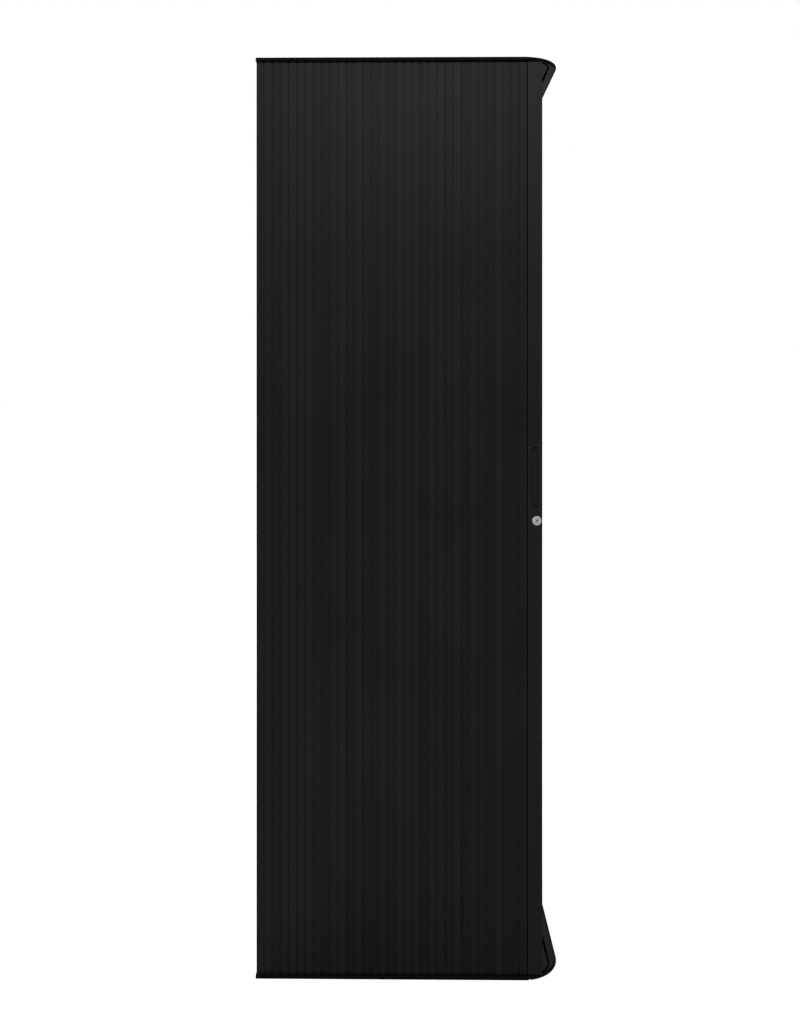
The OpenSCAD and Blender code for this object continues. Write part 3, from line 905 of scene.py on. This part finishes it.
def build_profile():
    """Replaces the closing profile: rounded long edges and a sunk ring round the lock, with painted
    shade in the ring
    """
    settings = bpy.context.scene.shutter
    bm = merged_copy("leading_profile")
    soften(bm, settings.profile_radius, 4, lambda edge: edge.calc_length() > 1.0)
    made = object_of("leading_profile_visible", bm, material(profile_coat))
    ring_depth, ring_radius, flare = 0.9 * MM, 11.4 * MM, 0.2 * MM
    ring = bmesh.new()
    skin(ring, [circle_y(ring_radius, FACE_Y + ring_depth),
                circle_y(ring_radius + flare, FACE_Y - MM)])
    cut(made, new_object("lock_seat_cutter", ring))
    made.data.shade_smooth()
    made.data.set_sharp_from_angle(angle=math.radians(30))
    # Painted shade: the sunk ring and what lies behind it near the lock are blackened as if in
    # shadow
    darken_recess(made, 1.1 * ring_radius, FACE_Y + 0.2 * MM)
    hand_over(made, "turning_panel", "profile_metal", "leading_profile")


def mouth(margin, y):
    """The pull's mouth, drawn in by a margin, at one depth: round on the left"""
    fit, flat, least_radius = 0.05 * MM, 0.2 * MM, 0.5 * MM
    low = (PULL_LOW.x - fit + margin, PULL_LOW.z - fit + margin)
    high = (PULL_HIGH.x + fit - margin, PULL_HIGH.z + fit - margin)
    round_side = max((high[0] - low[0]) / 2 - flat, least_radius)
    sharp_side = 1.2 * MM
    radii = (round_side, sharp_side, sharp_side, round_side)
    return [(x, y, z) for x, z in rounded_rectangle(low, high, radii)]


def build_pull():
    """Replaces the pull: a flat rim, rounded lip, sloping walls and a rounded floor"""
    settings = bpy.context.scene.pull
    wall, slope, steps = 1.2 * MM, 0.5 * MM, 6
    gap, draft, back_inset, back_slope = 0.05 * MM, 0.4 * MM, 3 * MM, 1.5 * MM
    lip = settings.flange_height
    floor_y = PULL_HIGH.y - wall
    radius = settings.floor_radius
    quarter = [i / steps * math.pi / 2 for i in range(steps + 1)]
    rings = [mouth(back_inset, PULL_HIGH.y), mouth(draft, PULL_HIGH.y - back_slope),
             mouth(gap, FACE_Y + 2 * MM), mouth(gap, FACE_Y),
             mouth(-settings.flange, FACE_Y), mouth(-settings.flange, FACE_Y - lip / 2),
             mouth(lip - settings.flange, FACE_Y - lip)]
    for angle in quarter:
        rings.append(mouth(wall - lip + lip * math.sin(angle), FACE_Y - lip * math.cos(angle)))
    for angle in quarter:
        rings.append(mouth(wall + slope + radius * (1 - math.cos(angle)),
                           floor_y - radius * (1 - math.sin(angle))))
    bm = bmesh.new()
    skin(bm, rings)
    made = new_object("pull_cup_visible", bm, material(pull_plastic), smooth=50)
    hand_over(made, "turning_panel", "pull_plastic", "pull_cup")


def build_lock_body():
    """Replaces the lock's body: a round face with a fine groove on it, and a barrel"""
    rim_y, rim_r = LOCK_LOW.y, (LOCK_HIGH.x - LOCK_LOW.x) / 2
    bore_r, bore_bevel = 5.55 * MM, 0.3 * MM
    barrel_r, barrel_bevel = 8 * MM, 0.4 * MM
    groove_y = rim_y + 0.25 * MM
    rim = [(rim_r, FACE_Y), (rim_r, rim_y + 0.9 * MM), (rim_r - 0.25 * MM, rim_y + 0.35 * MM),
           (rim_r - 0.8 * MM, rim_y)]
    groove = [(7.6 * MM, rim_y), (7.4 * MM, groove_y), (6.5 * MM, groove_y), (6.3 * MM, rim_y)]
    bore = [(bore_r + bore_bevel, rim_y), (bore_r, rim_y + bore_bevel), (bore_r, LOCK_HIGH.y)]
    barrel = [(barrel_r - barrel_bevel, LOCK_HIGH.y), (barrel_r, LOCK_HIGH.y - barrel_bevel),
              (barrel_r, FACE_Y)]
    bm = bmesh.new()
    skin(bm, [circle_y(radius, y) for radius, y in rim + groove + bore + barrel], closed=True)
    made = new_object("lock_body_visible", bm, material(lock_nickel), smooth=25)
    hand_over(made, "turning_panel", "lock_metal", "lock_body")


def square_y(half, y, steps=64):
    """A square round the lock's axis, with as many points as a circle"""
    points = []
    for i in range(steps):
        angle = 2 * math.pi * (i + 0.5) / steps
        reach = half / max(abs(math.cos(angle)), abs(math.sin(angle)))
        points.append((LOCK_X + reach * math.cos(angle), y, LOCK_Z + reach * math.sin(angle)))
    return points


def build_lock_plug():
    """Replaces the turning plug: a dished face with a keyway, and a square tail; the keyway's inside
    gets painted shade
    """
    low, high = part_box("lock_plug")
    radius, dish = (high.x - low.x) / 2, bpy.context.scene.pull.dish_width / 2
    face, tail_y, square = low.y, high.y - 2.5 * MM, 2.8 * MM
    blade = (0.8 * MM, -2.6 * MM, 2.6 * MM)
    ward = (1.5 * MM, -0.3 * MM, 1.5 * MM)
    depth = 12 * MM
    turned = [(0.5 * MM, face + 0.5 * MM), (0.6 * dish, face + 0.42 * MM),
              (0.9 * dish, face + 0.2 * MM), (dish, face), (radius - 0.3 * MM, face),
              (radius, face + 0.3 * MM), (radius, tail_y)]
    rings = [circle_y(r, y) for r, y in turned]
    bm = bmesh.new()
    skin(bm, rings + [square_y(square, tail_y), square_y(square, high.y)])
    made = new_object("lock_plug_visible", bm, material(lock_nickel), smooth=25)
    cutters = []
    for half_x, low_z, high_z in (blade, ward):
        slot = bmesh.new()
        block(slot, (LOCK_X - half_x, face - MM, LOCK_Z + low_z),
              (LOCK_X + half_x, face + depth - half_x, LOCK_Z + high_z))
        cutters.append(new_object("keyway_cutter", slot))
    cut(made, *cutters)
    # Painted shade: what lies deeper than the dish near the axis, chiefly the keyway's inside, is
    # blackened as if in shadow
    darken_recess(made, dish, face + 0.7 * MM)
    hand_over(made, "lock_cylinder", "lock_metal", "lock_plug")


def build_lock_fittings():
    """Softened copies of the nut, the cam, its screw and the strike plate"""
    for node, slot, width in (("lock_nut", "fitting_steel", 0.4), ("lock_cam", "fitting_steel", 0.3),
                              ("strike_plate", "fitting_steel", 0.3)):
        made = softened_copy(node, width * MM, material(zinc_steel))
        hand_over(made, body_of(node), slot, node)
    made = softened_copy("cam_screw", 0.3 * MM, material(screw_steel))
    hand_over(made, body_of("cam_screw"), "screw_steel", "cam_screw")


# ---------- tracks and carcass ----------

def distance_inside(point):
    """How far a point lies inside the tracks' outer outline, as seen from above"""
    if point.x > CORNER.x and point.y < CORNER.y:
        return CORNER_R - (point.xy - CORNER).length
    return min(point.y - FRONT_Y, RIGHT_X - point.x)


def outer_edge(edge):
    """True for an edge along the tracks' outer outline"""
    level = abs(edge.verts[0].co.z - edge.verts[1].co.z) < 0.01 * MM
    return level and all(abs(distance_inside(v.co)) < 0.05 * MM for v in edge.verts)


def near_outside(edge):
    """True for an edge in the rounded lip, which is soft already"""
    margin = 0.2 * MM
    reach = bpy.context.scene.tracks.nose_radius + margin
    return any(distance_inside(v.co) < reach for v in edge.verts)


def build_tracks():
    """Replaces all six track pieces: the rounded lip along the outer edge and all walls get painted
    shade in black
    """
    settings = bpy.context.scene.tracks
    lip_inset, skin_depth = settings.nose_radius + 0.6 * MM, 0.5 * MM
    for node in [n for n in BODIES["carcass"] if "_track_" in n]:
        bm = merged_copy(node)
        soften(bm, settings.nose_radius, 5, outer_edge)
        soften(bm, settings.soft_edge, 2, lambda edge: long_edge(edge) and not near_outside(edge))
        low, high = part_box(node)
        for face in bm.faces:
            centre = face.calc_center_median()
            on_a_wall = low.z + skin_depth < centre.z < high.z - skin_depth
            # Painted shade: the lip, the front and every wall, down into the grooves, take the
            # near-black shade material
            if distance_inside(centre) < lip_inset or on_a_wall:
                face.material_index = 1
        lip = material(track_black)
        # Painted shade on the side pieces without any sheen, so their edge reads as a black outline
        if node.endswith("side"):
            lip = material(track_black, "track_dull_black", 0.0)
        made = object_of(node + "_visible", bm, track_material(node), lip)
        hand_over(made, "carcass", "track_plastic", node)


def build_carcass():
    """Replaces the boards and panels, with edging along their front edges"""
    width, shortest = bpy.context.scene.tracks.board_edge, 10 * MM
    for node in ("bottom_board", "top_board", "left_side_panel", "right_side_panel",
                 "hat_shelf", "back_panel"):
        back = node == "back_panel"
        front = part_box(node)[0].y
        bm = merged_copy(node)
        soften(bm, 0.5 * width if back else width, 3, lambda edge: edge.calc_length() > shortest)
        for face in bm.faces:
            if not back and face.normal.y < -0.5 and face.calc_center_median().y < front + MM:
                face.material_index = 1
        faced = material(back_lacquer) if back else material(board_melamine)
        made = object_of(node + "_visible", bm, faced, material(board_edging))
        hand_over(made, "carcass", "back_board" if back else "board", node)


def build_interior():
    """Replaces the rail, its brackets and the shelf's pins"""
    for node, slot, paint in (("hanging_rail", "rail_metal", rail_chrome),
                              ("rail_brackets", "fitting_steel", zinc_steel),
                              ("shelf_pins", "fitting_steel", zinc_steel)):
        made = softened_copy(node, 0.3 * MM, material(paint),
                             wanted=lambda edge: edge.calc_length() > 0.5 * MM)
        hand_over(made, "carcass", slot, node)


# ---------- screws ----------

def islands(bm):
    """The separate solids of a mesh, as lists of points"""
    left, found = set(bm.verts), []
    while left:
        queue, island = [left.pop()], []
        while queue:
            vertex = queue.pop()
            island.append(vertex.co.copy())
            for edge in vertex.link_edges:
                other = edge.other_vert(vertex)
                if other in left:
                    left.remove(other)
                    queue.append(other)
        found.append(island)
    return found


def screw_facts(points):
    """(place of the head's top, outward direction, sizes in whole micrometres) of one screw"""
    low = Vector([min(p[i] for p in points) for i in range(3)])
    high = Vector([max(p[i] for p in points) for i in range(3)])
    axis = max(range(3), key=lambda i: high[i] - low[i])
    others = [i for i in range(3) if i != axis]
    centre = (low + high) / 2

    def off_axis(point):
        return math.hypot(*(point[i] - centre[i] for i in others))

    def radius_at(limit):
        return max(off_axis(p) for p in points if abs(p[axis] - limit) < 0.3 * MM)

    top = max((low[axis], high[axis]), key=radius_at)
    tip = low[axis] + high[axis] - top
    head, shank = radius_at(top), radius_at(tip)
    wide = [p[axis] for p in points if off_axis(p) > shank + 0.4 * MM]
    place = centre.copy()
    place[axis] = top
    outward = Vector((0, 0, 0))
    outward[axis] = 1 if top > tip else -1
    sizes = (head, shank, max(wide) - min(wide), abs(top - tip))
    return place, outward, tuple(round(s / MM * 1000) for s in sizes)


def cross_radius(angle, width, reach):
    """How far a cross-shaped recess reaches in one direction"""
    c, s = max(abs(math.cos(angle)), 1e-6), max(abs(math.sin(angle)), 1e-6)
    return max(min(reach / c, width / s), min(width / c, reach / s))


# Outlines of the two kinds of screw head: (share of its radius, share of its height)
DOMED_HEAD = ((0.96, 1.0), (1.0, 0.9), (1.0, 0.5), (0.93, 0.2), (0.78, 0.04))
SUNK_HEAD = ((1.0, 0.2), (1.0, 0.0))


def screw_mesh(head, shank, head_height, length, sunk):
    """One screw along Z, its head's top at z = 0, with a cross recess"""
    steps = 32
    turns = [2 * math.pi * i / steps for i in range(steps)]

    def ring(radius, z):
        return [(radius * math.cos(a), radius * math.sin(a), z) for a in turns]

    def cross(size, z):
        reach, width = 0.52 * head * size, 0.15 * head * size
        radii = [cross_radius(a, width, reach) for a in turns]
        return [(r * math.cos(a), r * math.sin(a), z) for r, a in zip(radii, turns)]

    outline = SUNK_HEAD if sunk else DOMED_HEAD
    rings = [ring(0.25 * shank, -length), ring(shank, -length + 2.2 * shank),
             ring(shank, -head_height)]
    rings += [ring(wide * head, -high * head_height) for wide, high in outline]
    rings += [ring(0.6 * head, 0), cross(1.0, -0.01 * MM), cross(0.55, -0.55 * head_height)]
    bm = bmesh.new()
    skin(bm, rings)
    return bm


def build_screw_set(node, tree, sunk):
    """Replaces one CAD node of screws, size by size"""
    first_seed = 3
    groups = {}
    for island in islands(merged_copy(node)):
        place, outward, sizes = screw_facts(island)
        groups.setdefault(sizes, []).append((place, outward))
    for number, sizes in enumerate(sorted(groups)):
        places = groups[sizes]
        head, shank, head_height, length = (s / 1000 * MM for s in sizes)
        screw = new_object("screw_master", screw_mesh(head, shank, head_height, length, sunk))
        mesh = bpy.data.meshes.new("screw_places")
        mesh.from_pydata([p for p, _ in places], [], [])
        turns = mesh.attributes.new("turn", "FLOAT_VECTOR", "POINT")
        for item, (_, outward) in zip(turns.data, places):
            item.vector = Vector((0, 0, 1)).rotation_difference(outward).to_euler()
        name = f"{node}_visible" if len(groups) == 1 else f"{node}_visible_{number + 1}"
        made = bpy.data.objects.new(name, mesh)
        bpy.context.scene.collection.objects.link(made)
        run_tree(made, tree, Screw=screw, Seed=number + first_seed, Material=material(screw_steel))
        bpy.data.objects.remove(screw)
        hand_over(made, "carcass", "screw_steel", node)


def build_screws():
    """Replaces all the screws of the carcass"""
    tree = screw_set_tree()
    for node, sunk in (("fitting_screws", False), ("carcass_screws", True),
                       ("back_panel_screws", True)):
        build_screw_set(node, tree, sunk)


# ---------- stage ----------

def stage_floor_material():
    """Pale floor that looks white to the camera but still takes a soft shadow"""
    made = bpy.data.materials.new("stage_floor")
    made.use_nodes = True
    tree = made.node_tree
    tree.nodes.clear()
    where = add(tree, "ShaderNodeTexCoord").outputs["Object"]
    grain = add(tree, "ShaderNodeTexNoise")
    grain.inputs["Scale"].default_value = 3.0
    pale = mix_colour(tree, grain.outputs["Fac"], grey(0.70), grey(0.74))
    matte = add(tree, "ShaderNodeBsdfDiffuse")
    glow = add(tree, "ShaderNodeEmission")
    glow.inputs["Strength"].default_value = 0.86
    both = add(tree, "ShaderNodeAddShader")
    pick = add(tree, "ShaderNodeMixShader")
    seen = add(tree, "ShaderNodeLightPath")
    out = add(tree, "ShaderNodeOutputMaterial")
    wire(tree,
         (where, grain.inputs["Vector"]),
         (pale, matte.inputs["Color"]),
         (matte.outputs[0], both.inputs[0]),
         (glow.outputs[0], both.inputs[1]),
         (seen.outputs["Is Camera Ray"], pick.inputs["Fac"]),
         (matte.outputs[0], pick.inputs[1]),
         (both.outputs[0], pick.inputs[2]),
         (pick.outputs[0], out.inputs["Surface"]))
    return made


def build_floor():
    """A wide plain floor"""
    reach, gap = 40, 0.5 * MM
    bm = bmesh.new()
    corners = [(-reach, -reach), (reach, -reach), (reach, reach), (-reach, reach)]
    bm.faces.new([bm.verts.new((x, y, -gap)) for x, y in corners])
    object_of("stage_floor", bm, stage_floor_material())


def build_world():
    """White surroundings to the camera, softer ones to the object"""
    world = bpy.data.worlds.new("studio")
    bpy.context.scene.world = world
    world.use_nodes = True
    tree = world.node_tree
    tree.nodes.clear()
    white = add(tree, "ShaderNodeBackground")
    soft = add(tree, "ShaderNodeBackground")
    soft.inputs["Strength"].default_value = bpy.context.scene.stage.surround
    seen = add(tree, "ShaderNodeLightPath")
    pick = add(tree, "ShaderNodeMixShader")
    out = add(tree, "ShaderNodeOutputWorld")
    for background in (white, soft):
        background.inputs["Color"].default_value = (1, 1, 1, 1)
    wire(tree,
         (seen.outputs["Is Camera Ray"], pick.inputs["Fac"]),
         (soft.outputs[0], pick.inputs[1]),
         (white.outputs[0], pick.inputs[2]),
         (pick.outputs[0], out.inputs["Surface"]))


def add_softbox(name, place, target, width, height, power):
    """A large soft lamp that looks at a point"""
    lamp = bpy.data.lights.new(name, "AREA")
    lamp.shape = "RECTANGLE"
    lamp.size, lamp.size_y = width, height
    lamp.energy = power
    made = bpy.data.objects.new(name, lamp)
    made.location = place
    made.rotation_euler = (Vector(target) - Vector(place)).to_track_quat("-Z", "Y").to_euler()
    bpy.context.scene.collection.objects.link(made)


def build_lights():
    """Three soft lamps: a wide one high in front, one at the left and one behind"""
    add_softbox("key_light", place=(0.5, -4.2, 3.6), target=(0.1, 0, 1.3),
                width=3.6, height=1.6, power=34)
    add_softbox("fill_light", place=(-3.4, -2.8, 2.2), target=(-0.1, 0, 0.9),
                width=2.0, height=2.4, power=26)
    add_softbox("back_light", place=(-2.2, 3.4, 4.2), target=(0, 0, 1.2),
                width=2.6, height=2.0, power=80)


def build_camera():
    """The camera in front of the wardrobe, level, with its lens shifted down"""
    settings = bpy.context.scene.stage
    aside = 4 * MM
    lens = bpy.data.cameras.new("front_camera")
    lens.sensor_width = 36
    lens.lens = settings.lens
    lens.shift_y = settings.rise
    camera = bpy.data.objects.new("front_camera", lens)
    camera.location = (aside, FRONT_Y - settings.distance, settings.height)
    camera.rotation_euler = (math.radians(90), 0, settings.yaw)
    bpy.context.scene.collection.objects.link(camera)
    bpy.context.scene.camera = camera
    bpy.context.scene.view_settings.view_transform = "Standard"


# ---------- operators ----------

class WARDROBE_OT_slats(bpy.types.Operator):
    """Build the slats of the shutter and the glides at their ends"""

    bl_idname = "wardrobe.slats"
    bl_label = "Slats and glides"

    def execute(self, context):
        build_slats()
        build_glides()
        return {"FINISHED"}


class WARDROBE_OT_profile(bpy.types.Operator):
    """Build the closing profile"""

    bl_idname = "wardrobe.profile"
    bl_label = "Closing profile"

    def execute(self, context):
        build_profile()
        return {"FINISHED"}


class WARDROBE_OT_pull(bpy.types.Operator):
    """Build the recessed pull"""

    bl_idname = "wardrobe.pull"
    bl_label = "Pull"

    def execute(self, context):
        build_pull()
        return {"FINISHED"}


class WARDROBE_OT_lock(bpy.types.Operator):
    """Build the lock with its cam, nut and strike plate"""

    bl_idname = "wardrobe.lock"
    bl_label = "Lock"

    def execute(self, context):
        build_lock_body()
        build_lock_plug()
        build_lock_fittings()
        return {"FINISHED"}


class WARDROBE_OT_tracks(bpy.types.Operator):
    """Build the grooved tracks"""

    bl_idname = "wardrobe.tracks"
    bl_label = "Tracks"

    def execute(self, context):
        build_tracks()
        return {"FINISHED"}


class WARDROBE_OT_carcass(bpy.types.Operator):
    """Build the boards, the panels and the shelf"""

    bl_idname = "wardrobe.carcass"
    bl_label = "Carcass"

    def execute(self, context):
        build_carcass()
        return {"FINISHED"}


class WARDROBE_OT_interior(bpy.types.Operator):
    """Build the hanging rail, its brackets and the shelf's pins"""

    bl_idname = "wardrobe.interior"
    bl_label = "Interior fittings"

    def execute(self, context):
        build_interior()
        return {"FINISHED"}


class WARDROBE_OT_screws(bpy.types.Operator):
    """Build the screws"""

    bl_idname = "wardrobe.screws"
    bl_label = "Screws"

    def execute(self, context):
        build_screws()
        return {"FINISHED"}


class WARDROBE_OT_stage(bpy.types.Operator):
    """Build the floor, the light and the camera"""

    bl_idname = "wardrobe.stage"
    bl_label = "Stage"

    def execute(self, context):
        build_floor()
        build_world()
        build_lights()
        build_camera()
        return {"FINISHED"}


OPERATORS = (WARDROBE_OT_slats, WARDROBE_OT_profile, WARDROBE_OT_pull, WARDROBE_OT_lock,
             WARDROBE_OT_tracks, WARDROBE_OT_carcass, WARDROBE_OT_interior,
             WARDROBE_OT_screws, WARDROBE_OT_stage)


class WARDROBE_PT_pieces(bpy.types.Panel):
    """Lists the pieces that can be built"""

    bl_idname = "WARDROBE_PT_pieces"
    bl_label = "Tambour wardrobe"
    bl_space_type = "VIEW_3D"
    bl_region_type = "UI"
    bl_category = "Wardrobe"

    def draw(self, context):
        for operator in OPERATORS:
            self.layout.operator(operator.bl_idname)


SETTINGS = {"shutter": ShutterSettings, "pull": PullSettings, "tracks": TrackSettings,
            "stage": StageSettings}


def register():
    """Registers the settings, the operators and the panel"""
    for name, group in SETTINGS.items():
        bpy.utils.register_class(group)
        setattr(bpy.types.Scene, name, PointerProperty(type=group))
    for each in (*OPERATORS, WARDROBE_PT_pieces):
        bpy.utils.register_class(each)


def unregister():
    """Takes all of it out again"""
    for each in reversed((*OPERATORS, WARDROBE_PT_pieces)):
        bpy.utils.unregister_class(each)
    for name, group in SETTINGS.items():
        delattr(bpy.types.Scene, name)
        bpy.utils.unregister_class(group)


def main():
    """Builds the whole wardrobe and its stage"""
    register()
    for operator in OPERATORS:
        group, name = operator.bl_idname.split(".")
        getattr(getattr(bpy.ops, group), name)()


if __name__ == "__main__":
    main()
